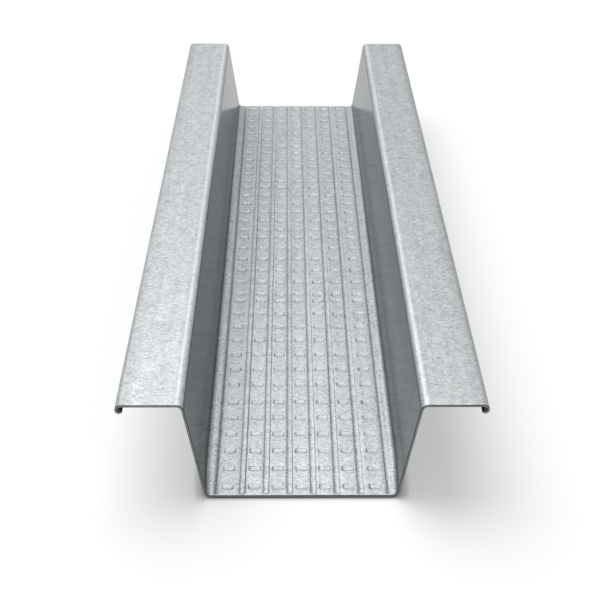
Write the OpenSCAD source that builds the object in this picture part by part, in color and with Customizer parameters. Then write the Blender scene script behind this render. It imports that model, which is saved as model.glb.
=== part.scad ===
// Furring channel: a hat-shaped ceiling and wall batten, rolled from one galvanised steel strip.
// The web lies below on its ribs, the two walls lean outwards, and the flanges on top end in
// hems that curl down and inwards. X runs across, Y along the length and Z up. The origin is the
// centre of the underside.

/* [Section] */
// Width over both flanges
overall_w = 80; // [66:1:120]
// Height from the underside of the ribs to the top of the flanges
depth = 26; // [12:1:50]
// Width of the web, between the corners that the outer faces of the walls make with it
web_w = 44.6; // [20:0.2:50]
// Lean of each wall away from upright, in degrees
wall_lean = 8.2; // [0:0.1:15]
// Thickness of the strip
sheet_t = 0.55; // [0.4:0.05:1]

/* [Length] */
// Length of the piece
length = 225; // [30:1:3600]

/* [Bends] */
// Inside radius of the bend between web and wall
web_bend_r = 1.2; // [0.4:0.1:2]
// Inside radius of the bend between wall and flange
flange_bend_r = 1.1; // [0.4:0.1:2]

/* [Hems] */
// Inside radius where the flange turns down into the hem
hem_bend_r = 0.8; // [0.2:0.05:1.2]
// Straight height between the two bends of the hem
hem_side = 0.1; // [0.1:0.1:4]
// Inside radius at the bottom of the hem
lip_bend_r = 0.3; // [0.1:0.05:0.5]
// Turn at the bottom of the hem, in degrees: past 90, the lip points back up
lip_turn = 140; // [90:1:150]
// Straight length of the lip
lip_len = 0.1; // [0.1:0.1:0.6]

/* [Web ribs] */
// Distance from rib to rib
rib_pitch = 5.35; // [3:0.05:8]
// Width of a rib at the top of its trough
rib_w = 1.4; // [1:0.1:2]
// Width of the rib beside each wall, at the top of its trough
side_rib_w = 1.1; // [0.9:0.1:1.5]
// Flat width between a side rib and the bend of the wall
side_rib_land = 0.75; // [0.05:0.05:2]
// Depth of all ribs
rib_depth = 0.25; // [0.1:0.05:0.5]
// Width of the sloped flank on each side of a rib
rib_flank = 0.3; // [0.2:0.05:0.4]

/* [Hidden] */

// Straight facets that make up one bend
bend_steps = 12;

// The strip's middle line, from which both of its faces are half a thickness away
half_t = sheet_t / 2;
web_mid_z = rib_depth + half_t;
flange_mid_z = depth - half_t;
hem_mid_x = overall_w / 2 - half_t;

// Corners of the middle line before they are rounded
wall_turn = 90 - wall_lean;
wall_foot_x = web_w / 2 - half_t / cos(wall_lean) + half_t * tan(wall_lean);
wall_rise = flange_mid_z - web_mid_z;
wall_head_x = wall_foot_x + wall_rise * tan(wall_lean);

// What rounding takes off the straight run on each side of a bend
function cutback(inside_r, turn) = (inside_r + half_t) * tan(turn / 2);
web_cutback = cutback(web_bend_r, wall_turn);
flange_cutback = cutback(flange_bend_r, wall_turn);
hem_cutback = cutback(hem_bend_r, 90);

// The strip from the edge of the web to the lip, as [turn, inside radius, straight length after
// it]. A positive turn is to the left, seen along the strip.
side_run = [
    [wall_turn, web_bend_r, wall_rise / cos(wall_lean) - web_cutback - flange_cutback],
    [-wall_turn, flange_bend_r, hem_mid_x - wall_head_x - flange_cutback - hem_cutback],
    [-90, hem_bend_r, hem_side],
    [-lip_turn, lip_bend_r, lip_len],
];

// Places of the ribs across the web: one beside each wall, and pairs between them that keep at
// least a rib's width clear of the side ribs
web_half = wall_foot_x - web_cutback;
side_rib_x = web_half - side_rib_land - side_rib_w / 2;
rib_reach = side_rib_x - side_rib_w / 2 - 1.5 * rib_w;
rib_pairs = floor(rib_reach / rib_pitch + 0.5);

// A place on the strip's middle line is [x, z, heading]. These two find the place further on,
// straight ahead or round a bend.
function ahead(place, distance) = [
    place[0] + distance * cos(place[2]),
    place[1] + distance * sin(place[2]),
    place[2],
];
function turned(place, turn, mid_r) =
    let (heading = place[2] + turn, r = sign(turn) * mid_r)
    [
        place[0] + r * (sin(heading) - sin(place[2])),
        place[1] - r * (cos(heading) - cos(place[2])),
        heading,
    ];

// All places along a run of bends and straights
function run_places(place, run, step = 0) =
    let (
        turn = run[step][0],
        mid_r = run[step][1] + half_t,
        bend = [for (k = [0:bend_steps]) turned(place, turn * k / bend_steps, mid_r)],
        end = ahead(bend[bend_steps], run[step][2])
    )
    step < len(run) - 1 ? concat(bend, run_places(end, run, step + 1)) : concat(bend, [end]);

// Points beside the middle line: a positive distance is to its left
function beside(places, distance) =
    [for (p = places) [p[0] - distance * sin(p[2]), p[1] + distance * cos(p[2])]];

// A rib's trough as points [x, height], from its left edge to its right edge
function trough(x, width) = [
    [x - width / 2, 0],
    [x - width / 2 + rib_flank, -rib_depth],
    [x + width / 2 - rib_flank, -rib_depth],
    [x + width / 2, 0],
];

function raised(line, z) = [for (p = line) [p[0], z + p[1]]];
function reversed(line) = [for (i = [len(line) - 1:-1:0]) line[i]];
function mirrored(line) = [for (p = reversed(line)) [-p[0], p[1]]];

// The whole section is one outline: underside and top of the web, and both faces of the strip on
// each side of it
module section() {
    ribs = [for (i = [0.5 - rib_pairs:rib_pairs - 0.5]) each trough(i * rib_pitch, rib_w)];
    side_rib = trough(side_rib_x, side_rib_w);
    web = concat(mirrored(side_rib), ribs, side_rib);
    side = run_places([web_half, web_mid_z, 0], side_run);
    right = concat(beside(side, -half_t), reversed(beside(side, half_t)));
    polygon(concat(
        raised(web, rib_depth),
        right,
        reversed(raised(web, rib_depth + sheet_t)),
        mirrored(right)
    ));
}

module channel() {
    color("#b9c0c4")
        translate([0, length / 2, 0])
            rotate([90, 0, 0])
                linear_extrude(height = length)
                    section();
}

channel();
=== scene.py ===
"""Looks of the furring channel: one strip of galvanised steel with rounded bends, pressed ribs that
run out before the cuts, a knurled web and curled hems, on a pale studio floor.

Shapes are worked out in millimetres, in the frame's axes, and written to the meshes in metres.
"""

import math
import random

import bpy
from mathutils import Euler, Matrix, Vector


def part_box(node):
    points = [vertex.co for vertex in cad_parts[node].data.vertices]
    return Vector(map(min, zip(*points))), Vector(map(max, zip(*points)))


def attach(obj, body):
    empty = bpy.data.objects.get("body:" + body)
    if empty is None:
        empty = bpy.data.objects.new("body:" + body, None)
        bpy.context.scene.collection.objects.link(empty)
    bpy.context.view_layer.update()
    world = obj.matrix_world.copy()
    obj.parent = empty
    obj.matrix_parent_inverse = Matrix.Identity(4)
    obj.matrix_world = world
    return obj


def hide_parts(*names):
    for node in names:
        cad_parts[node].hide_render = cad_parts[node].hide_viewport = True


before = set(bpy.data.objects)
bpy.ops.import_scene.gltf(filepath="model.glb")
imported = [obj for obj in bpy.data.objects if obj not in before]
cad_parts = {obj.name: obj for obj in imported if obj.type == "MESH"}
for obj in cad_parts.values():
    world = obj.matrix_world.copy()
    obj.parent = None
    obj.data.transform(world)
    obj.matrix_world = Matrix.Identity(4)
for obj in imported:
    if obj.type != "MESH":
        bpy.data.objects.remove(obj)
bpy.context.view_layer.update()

MM = 0.001

# ---------------------------------------------------------------- sizes, in millimetres

cad_low, cad_high = (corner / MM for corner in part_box("channel"))
OVERALL_W = cad_high.x - cad_low.x
DEPTH = cad_high.z - cad_low.z
LENGTH = cad_high.y - cad_low.y

SHEET_T = 0.55
WEB_W = 44.6
WALL_LEAN = math.radians(8.2)
WEB_BEND_R = 1.2
FLANGE_BEND_R = 1.1
HEM_BEND_R = 0.8
HEM_SIDE = 0.1
LIP_BEND_R = 0.3
LIP_TURN = math.radians(140)
LIP_LEN = 0.1
BEND_STEPS = 9
BEND_MARGIN = 0.35  # flat stations this close to each bend keep its shading off the flat

RIB_PITCH = 5.35
RIB_PAIRS = 3
RIB_W = 1.25  # between the middles of its flanks
RIB_FLANK = 0.35
SIDE_RIB_W = 0.5
SIDE_RIB_FLANK = 0.5
SIDE_RIB_LAND = 1.05
RIB_DEPTH = 0.25
RIB_CORNER = 0.4  # rounding of a rib's ends, as a share of its width
RIB_END_GAP = 0.55  # plain strip between the end of a rib and the cut

KNURL_W = 2.6
KNURL_L = 1.7
KNURL_DEPTH = 0.18
KNURL_FLANK = 0.34
KNURL_CORNER = 0.5
KNURL_FAINTEST = 0.5  # depth of the faintest pocket, as a share of the deepest
KNURL_START = 3.0  # from the near cut to the first row
# Runs of the knurling wheel: (rows, row pitch, step to the first row of the next run)
KNURL_RUNS = [(6, 6.3, 7.3), (7, 6.68, 3.6), (6, 6.72, 5.0), (6, 5.95, 4.8), (12, 5.72, 0.0)]

# Painted shade in the creases, as a multiple of CREASE_SHADE_SHARE: along the ribs, and at the sides
# and the ends of a pocket of full depth
RIB_CREASE_SHADE = 0.45
KNURL_SIDE_SHADE = 1.5
KNURL_END_SHADE = 0.8
CREASE_GAIN = 7  # a crease is at its full darkness from 17 % to 83 % of a flank's depth

CUT_ROUND_TOP = 0.12  # the shear rounds the upper edge of a cut more than the lower one
CUT_ROUND_UNDER = 0.05
PINCH = 0.6  # the shear squeezes the foot of each wall inwards at the near cut
PINCH_REACH = 14.0

LINE_GAP = 0.015  # grid lines are further apart than this
KNURL_FLOOR_LINE = 0.3  # from the foot of a pocket's flank to the grid line on its floor
CUT_STEPS = [0, 0.02, 0.06, CUT_ROUND_TOP, 0.3]  # from a cut to the rows behind it
RIB_END_STEPS = [-RIB_FLANK / 2, 0, RIB_FLANK / 2, 0.45, 0.8]  # from a rib's end to the rows by it
CUT_ROWS = 6  # so many rows at each cut go on past the web, up the walls
SIDE_ROW_SHARE = 4  # of the other rows, one in so many does
SHARP_ANGLE = 50.0
HAIR = 0.001  # less than any distance in the grid

# ---------------------------------------------------------------- the strip's path

HALF_T = SHEET_T / 2
WEB_MID_Z = RIB_DEPTH + HALF_T
FLANGE_MID_Z = DEPTH - HALF_T
WALL_TURN = math.pi / 2 - WALL_LEAN
WALL_FOOT_X = WEB_W / 2 - HALF_T / math.cos(WALL_LEAN) + HALF_T * math.tan(WALL_LEAN)
WALL_RISE = FLANGE_MID_Z - WEB_MID_Z
WALL_HEAD_X = WALL_FOOT_X + WALL_RISE * math.tan(WALL_LEAN)


def cutback(inside_r, turn):
    """What rounding takes off the straight run on each side of a bend."""
    return (inside_r + HALF_T) * math.tan(turn / 2)


WEB_HALF = WALL_FOOT_X - cutback(WEB_BEND_R, WALL_TURN)
WALL_LEN = (
    WALL_RISE / math.cos(WALL_LEAN)
    - cutback(WEB_BEND_R, WALL_TURN)
    - cutback(FLANGE_BEND_R, WALL_TURN)
)
FLANGE_LEN = (
    OVERALL_W / 2
    - HALF_T
    - WALL_HEAD_X
    - cutback(FLANGE_BEND_R, WALL_TURN)
    - cutback(HEM_BEND_R, math.pi / 2)
)
SIDE_RIB_X = WEB_HALF - SIDE_RIB_LAND - SIDE_RIB_W / 2
FLANGE_START_X = WALL_HEAD_X + cutback(FLANGE_BEND_R, WALL_TURN)

# (turn, inside radius, straight length after it), from the edge of the web to the lip
SIDE_RUN = [
    (WALL_TURN, WEB_BEND_R, WALL_LEN),
    (-WALL_TURN, FLANGE_BEND_R, FLANGE_LEN),
    (-math.pi / 2, HEM_BEND_R, HEM_SIDE),
    (-LIP_TURN, LIP_BEND_R, LIP_LEN),
]


def ahead(place, distance):
    x, z, heading = place
    return x + distance * math.cos(heading), z + distance * math.sin(heading), heading


def turned(place, turn, mid_r):
    x, z, heading = place
    r = math.copysign(mid_r, turn)
    after = heading + turn
    return (
        x + r * (math.sin(after) - math.sin(heading)),
        z - r * (math.cos(after) - math.cos(heading)),
        after,
    )


def side_places():
    """Places (x, z, heading) on the middle line, from the edge of the web to the lip."""
    place = (WEB_HALF, WEB_MID_Z, 0.0)
    places = [place]
    for turn, inside_r, straight in SIDE_RUN:
        start = place
        for k in range(1, BEND_STEPS + 1):
            place = turned(start, turn * k / BEND_STEPS, inside_r + HALF_T)
            places.append(place)
        if straight > 3 * BEND_MARGIN:
            places.append(ahead(place, BEND_MARGIN))
            places.append(ahead(place, straight - BEND_MARGIN))
        place = ahead(place, straight)
        places.append(place)
    return places


# ---------------------------------------------------------------- relief of the web

rib_xs = [(i + 0.5) * RIB_PITCH for i in range(-RIB_PAIRS, RIB_PAIRS)]
ribs = [(x, RIB_W, RIB_FLANK, False) for x in rib_xs]
ribs += [(side * SIDE_RIB_X, SIDE_RIB_W, SIDE_RIB_FLANK, True) for side in (-1, 1)]

# One knurled column lies between each two neighbouring ribs
outer_column_x = (rib_xs[-1] + RIB_W / 2 + SIDE_RIB_X - SIDE_RIB_W / 2) / 2
column_xs = [-outer_column_x] + [i * RIB_PITCH for i in range(1 - RIB_PAIRS, RIB_PAIRS)]
column_xs.append(outer_column_x)


def knurl_rows():
    y = -LENGTH / 2 + KNURL_START
    for count, pitch, seam in KNURL_RUNS:
        for k in range(count):
            yield y
            y += pitch if k < count - 1 else seam


row_ys = [y for y in knurl_rows() if y < LENGTH / 2 - KNURL_L]


def pressed(dx, dy, half_x, half_y, corner, flank):
    """Share of the full depth, from 0 to 1, in a pressed oblong with rounded corners."""
    qx = abs(dx) - half_x + corner
    qy = abs(dy) - half_y + corner
    outside = math.hypot(max(qx, 0), max(qy, 0)) + min(max(qx, qy), 0) - corner
    t = min(max(0.5 - outside / flank, 0), 1)
    return t * t * (3 - 2 * t)


def crease(share):
    """1 round the middle of a flank, 0 at its top and its foot."""
    return min(CREASE_GAIN * share * (1 - share), 1)


random.seed(4)
pocket_share = {(x, y): random.uniform(KNURL_FAINTEST, 1) for x in column_xs for y in row_ys}


def relief(x, y):
    """How deep the web is pressed at a point, and how much painted shade its creases get there."""
    depth = 0.0
    crease_shade = 0.0
    for rib_x, width, flank, narrow in ribs:
        if abs(x - rib_x) < width + flank:
            half_y = LENGTH / 2 - RIB_END_GAP
            share = pressed(x - rib_x, y, width / 2, half_y, RIB_CORNER * width, flank)
            depth = max(depth, RIB_DEPTH * share)
            crease_shade = max(crease_shade, RIB_CREASE_SHADE * (share if narrow else crease(share)))
    for column_x in column_xs:
        if abs(x - column_x) > KNURL_W:
            continue
        row_y = min(row_ys, key=lambda r: abs(y - r))
        force = pocket_share[column_x, row_y]
        share = pressed(
            x - column_x, y - row_y, KNURL_W / 2, KNURL_L / 2, KNURL_CORNER, KNURL_FLANK
        )
        depth = max(depth, KNURL_DEPTH * share * force)
        at_side = abs(x - column_x) - KNURL_W / 2 > abs(y - row_y) - KNURL_L / 2
        darkness = KNURL_SIDE_SHADE if at_side else KNURL_END_SHADE
        crease_shade = max(crease_shade, crease(share) * force * darkness)
    return depth, crease_shade


def edge_lines(middle, half, flank, floor_line=None):
    """Grid lines that follow the two flanks of a pressed feature, and its floor if asked."""
    steps = [half + flank / 2, half, half - flank / 2]
    if floor_line is not None:
        steps.append(half - flank / 2 - floor_line)
    return [middle - s for s in steps] + [middle + s for s in steps]


def spaced(lines):
    """The lines in order, without those that lie on or close to the one before."""
    kept = []
    for line in sorted(lines):
        if not kept or line - kept[-1] > LINE_GAP:
            kept.append(line)
    return kept


def web_lines():
    """Places across the web of the grid lines that run along it."""
    lines = []
    for x, width, flank, _ in ribs:
        lines += edge_lines(x, width / 2, flank) + [x]
    for x in column_xs:
        lines += edge_lines(x, KNURL_W / 2, KNURL_FLANK, KNURL_FLOOR_LINE)
    edge = WEB_HALF - LINE_GAP
    return spaced(x for x in lines if -edge < x < edge)


def web_rows():
    """Places along the web of the grid rows that run across it."""
    end = LENGTH / 2
    near_end = CUT_STEPS + [RIB_END_GAP + step for step in RIB_END_STEPS]
    rows = [-end + d for d in near_end] + [end - d for d in near_end]
    for y in row_ys:
        rows += edge_lines(y, KNURL_L / 2, KNURL_FLANK, KNURL_FLOOR_LINE)
    return spaced(rows)


def cut_rounding(y, radius):
    """How far a face is drawn in at a distance from the cut, where the shear rounds it."""
    inside = radius - (LENGTH / 2 - abs(y))
    if inside <= 0:
        return 0.0
    return radius - math.sqrt(max(radius * radius - inside * inside, 0))


def pinched(x, y, z):
    """The place across the section of a point near the cut that the shear has squeezed."""
    fade = max(1 - (y + LENGTH / 2) / PINCH_REACH, 0)
    low = 1 - (z / DEPTH) ** 2
    beside = min(max((abs(x) - SIDE_RIB_X - SIDE_RIB_W) / SIDE_RIB_LAND, 0), 1)
    return x - math.copysign(PINCH * fade * fade * low * beside, x)


# ---------------------------------------------------------------- the strip's mesh


def strip_mesh():
    """The strip as one closed grid: its top, its underside, the two cuts and the two lips' edges."""
    side = side_places()
    left = [(-x, z, -heading) for x, z, heading in reversed(side)]
    web = [(x, WEB_MID_Z, 0.0) for x in web_lines()]
    stations = left + web + side
    first_web, last_web = len(left), len(left) + len(web) - 1
    rows = web_rows()
    far_rows = len(rows) - CUT_ROWS
    side_rows = list(range(CUT_ROWS)) + list(range(CUT_ROWS, far_rows, SIDE_ROW_SHARE))
    side_rows += list(range(far_rows, len(rows)))
    verts = []
    crease_shades = []
    burnish = []
    faces = []

    def face_points(offset, rounding, wanted_rows):
        """The points beside the middle line, as one {row: point} for each station."""
        grid = []
        for i, (x, z, heading) in enumerate(stations):
            on_web = first_web <= i <= last_web
            column = {}
            for j in wanted_rows if on_web else sorted(set(side_rows) & set(wanted_rows)):
                y = rows[j]
                beside = offset - math.copysign(cut_rounding(y, rounding), offset)
                depth, crease_shade = relief(x, y) if on_web else (0.0, 0.0)
                point_z = z + beside * math.cos(heading) - depth
                point_x = pinched(x - beside * math.sin(heading), y, point_z)
                column[j] = len(verts)
                verts.append((point_x * MM, y * MM, point_z * MM))
                crease_shades.append(crease_shade)
                burnish.append(float(offset == 0))
            grid.append(column)
        return grid

    def skin(grid, upward):
        """Faces between neighbouring stations, which need not have all rows in common."""
        for a, b in zip(grid, grid[1:]):
            shared = sorted(set(a) & set(b))
            for j, k in zip(shared, shared[1:]):
                ring = [b[n] for n in range(j, k + 1) if n in b]
                ring += [a[n] for n in range(k, j - 1, -1) if n in a]
                faces.append(ring if upward else ring[::-1])

    last = len(rows) - 1
    top = face_points(HALF_T, CUT_ROUND_TOP, range(len(rows)))
    under = face_points(-HALF_T, CUT_ROUND_UNDER, range(len(rows)))
    middle = face_points(0.0, 0.0, (0, last))
    skin(top, True)
    skin(under, False)

    skin_count = len(faces)
    for i in range(len(stations) - 1):
        for low, high in ((under, middle), (middle, top)):
            faces.append([low[i][0], low[i + 1][0], high[i + 1][0], high[i][0]])
            faces.append([high[i][last], high[i + 1][last], low[i + 1][last], low[i][last]])
    for j, k in zip(side_rows, side_rows[1:]):
        for rim, flip in ((0, False), (-1, True)):
            ring = [top[rim][j], top[rim][k]]
            ring += [middle[rim][k]] if k == last else []
            ring += [under[rim][k], under[rim][j]]
            ring += [middle[rim][j]] if j == 0 else []
            faces.append(ring[::-1] if flip else ring)

    mesh = bpy.data.meshes.new("galvanised_strip")
    mesh.from_pydata(verts, [], faces)
    for name, values in (("crease_shade", crease_shades), ("burnish", burnish)):
        mesh.attributes.new(name, "FLOAT", "POINT").data.foreach_set("value", values)
    mesh.polygons.foreach_set("use_smooth", [True] * len(faces))
    rounded_y = (LENGTH / 2 - CUT_ROUND_TOP - HAIR) * MM
    cut = [
        int(i >= skin_count or all(abs(verts[v][1]) > rounded_y for v in face))
        for i, face in enumerate(faces)
    ]
    mesh.polygons.foreach_set("material_index", cut)
    mesh.set_sharp_from_angle(angle=math.radians(SHARP_ANGLE))
    return mesh


# ---------------------------------------------------------------- materials

# Colours
ZINC_DARK = (0.35, 0.37, 0.38, 1)
ZINC_PALE = (0.67, 0.7, 0.71, 1)
# the colour of the painted highlight on the bends
ZINC_HIGHLIGHT = (0.82, 0.85, 0.86, 1)
# the colour of the pits, and what the painted shade in the creases darkens towards
PIT_AND_CREASE_SHADE = (0.14, 0.15, 0.16, 1)
WALL_SHADE = (0.002, 0.014, 0.015, 1)  # what the walls' painted shade darkens towards
EDGE_TINT = (0.44, 0.482, 0.503, 1)
# the cut faces' colours, painted dark as shade of faces turned away from the lamp
CUT_SHADED_DARK = (0.05, 0.055, 0.055, 1)
CUT_SHADED_PALE = (0.34, 0.36, 0.36, 1)

# How much of its colour each mark gives to the zinc
BEND_HIGHLIGHT = 0.5  # painted highlight along the bends between walls and flanges
PIT_ON_WEB = 0.55
PIT_BESIDE_WALL = 0.95
PIT_ON_FLANGE = 0.4
DASH_ON_FLANGE = 0.4
# painted shade in the creases of the ribs and pockets
CREASE_SHADE_SHARE = 0.6

# How bright the zinc's colour is in each zone, as painted shade and painted light. The rolled walls
# are painted darker than the web and the flanges, as shade on upright faces, and darker still
# towards their foot, as shade in the corner; they are also smoother. The hems are painted darker
# towards their edge, as shade where they curl away, and the left flange is painted paler than the
# rest, as light from the left.
WALL_SHADED_SHARE = 0.335
WALL_FOOT_SHADED_SHARE = 0.19
# painted shade on the hems, darker towards the outer edge where they curl away
HEM_SHADED_SHARE = 0.85
# painted light: the web and the right flange are darkened to this share, so the left flange reads as
# more lit
RIGHT_SIDE_SHADED_SHARE = 0.905

METALLIC = 0.32
SPECULAR = 0.08
ROUGHNESS = 0.34
ROUGHNESS_SPREAD = 0.05
WALL_ROUGHNESS = 0.12
CUT_ROUGHNESS = 0.5
BUMP_STRENGTH = 0.35
BUMP_DEPTH = 0.03
STREAK_RELIEF = 5.0  # height of the walls' streaks, as a multiple of the grain's
CUT_BUMP_STRENGTH = 0.3
CUT_BUMP_DEPTH = 0.02

# Noise patterns: waves per millimetre along x, y and z, detail, and roughness of the detail
CLOUDS = (1.1, 1.1, 1.1), 3.0, 0.6
MOTTLE = (0.4, 0.4, 0.4), 2.0, 0.5
GRAIN = (3.0, 3.0, 3.0), 3.0, 0.75
DASHES = (1.1, 2.6, 1.1), 2.0, 0.6  # drawn out across the strip
BANDS = (0.5, 0.012, 0.5), 1.0, 0.5  # drawn out along it
STREAKS = (0.2, 0.02, 0.8), 3.0, 0.65  # drawn out along the walls
CUT_GRAIN = (4.0, 4.0, 4.0), 3.0, 0.6
CUT_SMEAR = (2.6, 2.6, 0.3), 2.0, 0.5  # drawn out down the cut

PITS_PER_MM = 1.9
PIT_CHANCE = 0.35  # share of the pattern's cells that hold a pit
PIT_R = 0.22  # as a share of a cell
PIT_BLUR = 2.0  # a pit has faded out at so many times its radius

# Spans of a pattern's value over which a look changes
FLAT_TONES = (0.81, 1.29)
WALL_TONES = (0.15, 0.85)
DASH_TONES = (0.3, 0.38)
ROUGH_TONES = (0.2, 0.8)
CUT_TONES = (0.3, 0.6)

# Spans of place over which one zone changes into the next, in millimetres
WEB_TO_FLANGE_Z = (3.0, 12.0)
WALL_FOOT_SHADE_Z = (2.5, 12.0)
HEM_SHADE_X = (OVERALL_W / 2 - 4.0, OVERALL_W / 2 - 0.7)
BESIDE_WALL_X = (SIDE_RIB_X - 0.5, SIDE_RIB_X)
LEFT_LIGHT_FADE_X = (-FLANGE_START_X, -WEB_HALF)
BEND_HIGHLIGHT_START_X = (FLANGE_START_X - 1.1, FLANGE_START_X - 0.5)
BEND_HIGHLIGHT_END_X = (FLANGE_START_X - 0.1, FLANGE_START_X + 0.5)
BEND_HIGHLIGHT_Z = (DEPTH - 4.0, DEPTH - 3.0)

# Spans of the normal's upward part
WALL_TO_FLAT = (0.25, 0.75)
BEND_HIGHLIGHT_UPWARD = (0.3, 0.6)

RISING = (0.0, 1.0)
FALLING = (1.0, 0.0)


class Shader:
    """A node tree, with methods that add nodes to it and link them."""

    def __init__(self, tree):
        self.tree = tree

    def node(self, kind, **inputs):
        node = self.tree.nodes.new(kind)
        for name, value in inputs.items():
            self.plug(node.inputs[name.replace("_", " ")], value)
        return node

    def plug(self, socket, value):
        if isinstance(value, bpy.types.NodeSocket):
            self.tree.links.new(value, socket)
        else:
            socket.default_value = value

    def show(self, shader):
        output = self.node("ShaderNodeOutputMaterial")
        self.plug(output.inputs["Surface"], shader.outputs["BSDF"])

    def math(self, operation, *values):
        node = self.tree.nodes.new("ShaderNodeMath")
        node.operation = operation
        for socket, value in zip(node.inputs, values):
            self.plug(socket, value)
        return node.outputs[0]

    def product(self, first, *others):
        for value in others:
            first = self.math("MULTIPLY", first, value)
        return first

    def total(self, *weighted):
        """The sum of (value, weight) pairs."""
        total = 0.0
        for value, weight in weighted:
            total = self.math("MULTIPLY_ADD", value, weight, total)
        return total

    def ramp(self, value, span, to=RISING):
        """The value, taken smoothly from one span to another and held at its ends."""
        node = self.node("ShaderNodeMapRange")
        node.interpolation_type = "SMOOTHSTEP"
        names = ("Value", "From Min", "From Max", "To Min", "To Max")
        for name, number in zip(names, (value, *span, *to)):
            self.plug(node.inputs[name], number)
        return node.outputs["Result"]

    def scaled(self, vector, scale):
        node = self.node("ShaderNodeMapping", Scale=scale)
        self.plug(node.inputs["Vector"], vector)
        return node.outputs["Vector"]

    def parts(self, vector):
        return self.node("ShaderNodeSeparateXYZ", Vector=vector).outputs

    def place(self):
        """The place on the object, in millimetres."""
        where = self.node("ShaderNodeTexCoord").outputs["Object"]
        return self.scaled(where, (1 / MM, 1 / MM, 1 / MM))

    def upward(self):
        """The upward part of the object's normal: 1 on a level face, 0 on an upright one."""
        return self.parts(self.node("ShaderNodeTexCoord").outputs["Normal"])[2]

    def attribute(self, name):
        node = self.node("ShaderNodeAttribute")
        node.attribute_name = name
        return node.outputs["Fac"]

    def noise(self, place, pattern):
        waves, detail, roughness = pattern
        where = self.scaled(place, waves)
        node = self.node("ShaderNodeTexNoise", Scale=1.0, Detail=detail, Roughness=roughness)
        self.plug(node.inputs["Vector"], where)
        return node.outputs["Fac"]

    def pits(self, place):
        """1 in small round pits, in some cells of a Voronoi pattern."""
        cells = self.node("ShaderNodeTexVoronoi", Vector=place, Scale=PITS_PER_MM)
        chance = self.parts(cells.outputs["Color"])[0]
        chosen = self.math("GREATER_THAN", chance, 1 - PIT_CHANCE)
        inside = self.ramp(cells.outputs["Distance"], (PIT_R, PIT_BLUR * PIT_R), FALLING)
        return self.product(chosen, inside)

    def mix_value(self, factor, a, b):
        node = self.tree.nodes.new("ShaderNodeMix")
        for name, value in (("Factor", factor), ("A", a), ("B", b)):
            self.plug(node.inputs[name], value)
        return node.outputs["Result"]

    def mix(self, factor, a, b):
        node = self.tree.nodes.new("ShaderNodeMix")
        node.data_type = "RGBA"
        for name, value in (("Factor", factor), ("A", a), ("B", b)):
            self.plug(node.inputs[name], value)
        return node.outputs["Result"]


def new_material(name):
    """A material without nodes, and the shader tree to fill."""
    material = bpy.data.materials.new(name)
    material.use_nodes = True
    material.node_tree.nodes.clear()
    return material, Shader(material.node_tree)


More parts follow.
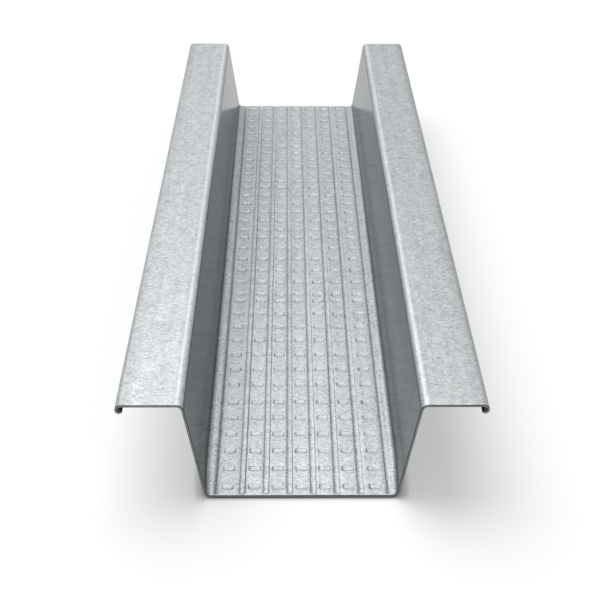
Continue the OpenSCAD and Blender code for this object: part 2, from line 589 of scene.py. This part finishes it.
def galvanised_steel():
    """Fine matt zinc: soft clouds, speckle and dark pits, with streaks along the rolled walls."""
    material, s = new_material("galvanised_steel")
    place = s.place()
    x, _, height = s.parts(place)
    from_middle = s.math("ABSOLUTE", x)
    upward = s.upward()

    # Zones, each from 0 to 1
    flat = s.ramp(s.math("ABSOLUTE", upward), WALL_TO_FLAT)
    on_web = s.product(flat, s.ramp(height, WEB_TO_FLANGE_Z, FALLING))
    # where the bends between walls and flanges get their painted highlight
    bend_highlight = s.product(
        s.ramp(from_middle, BEND_HIGHLIGHT_START_X),
        s.ramp(from_middle, BEND_HIGHLIGHT_END_X, FALLING),
        s.ramp(upward, BEND_HIGHLIGHT_UPWARD),
        s.ramp(height, BEND_HIGHLIGHT_Z),
    )

    # The zinc's own tones
    clouds = s.noise(place, CLOUDS)
    mottle = s.noise(place, MOTTLE)
    grain = s.noise(place, GRAIN)
    dashes = s.noise(place, DASHES)
    bands = s.noise(place, BANDS)
    streaks = s.noise(place, STREAKS)
    flat_mix = s.total((clouds, 0.45), (mottle, 0.2), (dashes, 0.35), (bands, 0.15), (grain, 0.95))
    wall_mix = s.total((streaks, 0.5), (grain, 0.5))
    tone = s.mix_value(flat, s.ramp(wall_mix, WALL_TONES), s.ramp(flat_mix, FLAT_TONES))
    colour = s.mix(tone, ZINC_DARK, ZINC_PALE)
    # Painted highlight along the bends between the walls and the flanges
    colour = s.mix(s.product(bend_highlight, BEND_HIGHLIGHT), colour, ZINC_HIGHLIGHT)

    # Pits and dashes, and painted shade in the creases of the ribs and pockets
    pits = s.pits(place)
    dark_dashes = s.ramp(dashes, DASH_TONES, FALLING)
    flange_marks = s.total((pits, PIT_ON_FLANGE), (dark_dashes, DASH_ON_FLANGE))
    web_marks = s.product(pits, s.ramp(from_middle, BESIDE_WALL_X, (PIT_ON_WEB, PIT_BESIDE_WALL)))
    marks = s.product(flat, s.mix_value(on_web, flange_marks, web_marks))
    colour = s.mix(marks, colour, PIT_AND_CREASE_SHADE)
    # painted shade: darker along the flanks of the ribs and pockets, and over the floor of the side
    # grooves
    colour = s.mix(s.product(s.attribute("crease_shade"), CREASE_SHADE_SHARE), colour, PIT_AND_CREASE_SHADE)

    # Painted shade and light of each zone: darker walls, wall feet and hem edges, a paler left
    # flange
    wall_shaded_share = s.ramp(height, WALL_FOOT_SHADE_Z, (WALL_FOOT_SHADED_SHARE, WALL_SHADED_SHARE))
    # painted shade on the hems
    hem_shaded_share = s.ramp(from_middle, HEM_SHADE_X, (1.0, HEM_SHADED_SHARE))
    # painted light on the left flange, and painted shade on the hems
    flat_shaded_share = s.product(hem_shaded_share, s.ramp(x, LEFT_LIGHT_FADE_X, (1.0, RIGHT_SIDE_SHADED_SHARE)))
    colour = s.mix(s.mix_value(flat, wall_shaded_share, flat_shaded_share), WALL_SHADE, colour)

    rough_span = (ROUGHNESS - ROUGHNESS_SPREAD, ROUGHNESS + ROUGHNESS_SPREAD)
    roughness = s.mix_value(flat, WALL_ROUGHNESS, s.ramp(clouds, ROUGH_TONES, rough_span))
    relief_height = s.mix_value(flat, s.product(streaks, STREAK_RELIEF), grain)
    bump = s.node("ShaderNodeBump", Strength=BUMP_STRENGTH, Distance=BUMP_DEPTH * MM)
    s.plug(bump.inputs["Height"], relief_height)
    shader = s.node(
        "ShaderNodeBsdfPrincipled",
        Base_Color=colour,
        Metallic=METALLIC,
        Roughness=roughness,
        Specular_IOR_Level=SPECULAR,
        Specular_Tint=EDGE_TINT,
        Normal=bump.outputs["Normal"],
    )
    s.show(shader)
    return material


def cut_steel():
    """Sheared steel, painted dark as shade of faces turned away from the lamp, with a paler
    burnished line along the middle of its thickness.
    """
    material, s = new_material("cut_steel")
    place = s.place()
    rub = s.total((s.noise(place, CUT_GRAIN), 0.5), (s.noise(place, CUT_SMEAR), 0.5))
    tone = s.product(s.ramp(rub, CUT_TONES, (0.5, 1.0)), s.attribute("burnish"))
    bump = s.node("ShaderNodeBump", Strength=CUT_BUMP_STRENGTH, Distance=CUT_BUMP_DEPTH * MM)
    s.plug(bump.inputs["Height"], tone)
    shader = s.node(
        "ShaderNodeBsdfPrincipled",
        Base_Color=s.mix(tone, CUT_SHADED_DARK, CUT_SHADED_PALE),
        Metallic=1.0,
        Roughness=CUT_ROUGHNESS,
        Normal=bump.outputs["Normal"],
    )
    s.show(shader)
    return material


# ---------------------------------------------------------------- the piece

strip = bpy.data.objects.new("galvanised_strip", strip_mesh())
bpy.context.scene.collection.objects.link(strip)
strip.data.materials.append(galvanised_steel())
strip.data.materials.append(cut_steel())
# The normals lean to the large faces, so that the flats stay even beside the bends and pockets
weighted = strip.modifiers.new("even_flats", "WEIGHTED_NORMAL")
weighted.keep_sharp = True
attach(strip, "root")
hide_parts("channel")

# ---------------------------------------------------------------- studio

FLOOR_SIZE = 40.0  # in metres
FLOOR_TONE = 0.635
FLOOR_ROUGHNESS = 0.9
FLOOR_GLOW = 0.405
CONTACT_SHADOW_REACH = 3.0  # painted contact shadow: the floor's glow fades out this close under the part, in millimetres
CONTACT_SHADOW_POWER = 2.0
WORLD_LEVEL = 0.32
KEY_LEVEL = 2.39
KEY_SPREAD = 60.0
KEY_FROM_BACK = 25.0
KEY_FROM_LEFT = 15.0

WHITE = (1, 1, 1, 1)

CAMERA_LENS = 68.72
CAMERA_SENSOR = 36.0
CAMERA_PLACE = (-3.09, -LENGTH / 2 - 193.9, 173.7)  # in millimetres
CAMERA_PITCH = 32.04
CAMERA_YAW = 0.717
CAMERA_ROLL = 0.36


def seen_rays(s):
    """1 for the rays that show the background: camera, glossy and transmission rays."""
    path = s.node("ShaderNodeLightPath").outputs
    seen = s.math("MAXIMUM", path["Is Camera Ray"], path["Is Glossy Ray"])
    return s.math("MAXIMUM", seen, path["Is Transmission Ray"])


def floor_material():
    """Matt and pale, with a glow for the rays that see it; the glow fades where the part touches, as
    a painted contact shadow.
    """
    material, s = new_material("pale_floor")
    contact_shadow = s.node("ShaderNodeAmbientOcclusion", Distance=CONTACT_SHADOW_REACH * MM)
    open_share = s.math("POWER", contact_shadow.outputs["AO"], CONTACT_SHADOW_POWER)
    shader = s.node(
        "ShaderNodeBsdfPrincipled",
        Base_Color=(FLOOR_TONE, FLOOR_TONE, FLOOR_TONE, 1),
        Roughness=FLOOR_ROUGHNESS,
        Specular_IOR_Level=0.0,
        Emission_Color=WHITE,
        Emission_Strength=s.product(open_share, FLOOR_GLOW, seen_rays(s)),
    )
    s.show(shader)
    return material


def add_floor():
    half = FLOOR_SIZE / 2
    mesh = bpy.data.meshes.new("floor")
    corners = [(-half, -half, 0), (half, -half, 0), (half, half, 0), (-half, half, 0)]
    mesh.from_pydata(corners, [], [(0, 1, 2, 3)])
    floor = bpy.data.objects.new("floor", mesh)
    bpy.context.scene.collection.objects.link(floor)
    floor.data.materials.append(floor_material())


def add_world():
    """Soft light from all round, seen as a white background."""
    world = bpy.data.worlds.new("studio")
    bpy.context.scene.world = world
    world.use_nodes = True
    s = Shader(world.node_tree)
    background = world.node_tree.nodes["Background"]
    background.inputs["Color"].default_value = WHITE
    s.plug(background.inputs["Strength"], s.mix_value(seen_rays(s), WORLD_LEVEL, 1.0))


def add_lamp():
    """One broad lamp above, a little behind the part and to its left."""
    lamp = bpy.data.lights.new("key", "SUN")
    lamp.energy = KEY_LEVEL
    lamp.angle = math.radians(KEY_SPREAD)
    holder = bpy.data.objects.new("key", lamp)
    bpy.context.scene.collection.objects.link(holder)
    holder.rotation_euler = (math.radians(-KEY_FROM_BACK), math.radians(-KEY_FROM_LEFT), 0)


def add_camera():
    camera = bpy.data.cameras.new("camera")
    camera.lens = CAMERA_LENS
    camera.sensor_width = CAMERA_SENSOR
    holder = bpy.data.objects.new("camera", camera)
    bpy.context.scene.collection.objects.link(holder)
    holder.location = Vector(CAMERA_PLACE) * MM
    aim = Euler((math.radians(90 - CAMERA_PITCH), 0, -math.radians(CAMERA_YAW)), "XYZ")
    roll = Euler((0, 0, math.radians(CAMERA_ROLL)), "XYZ")
    holder.rotation_euler = (aim.to_matrix() @ roll.to_matrix()).to_euler()
    bpy.context.scene.camera = holder


add_floor()
add_world()
add_lamp()
add_camera()
bpy.context.scene.view_settings.view_transform = "Standard"
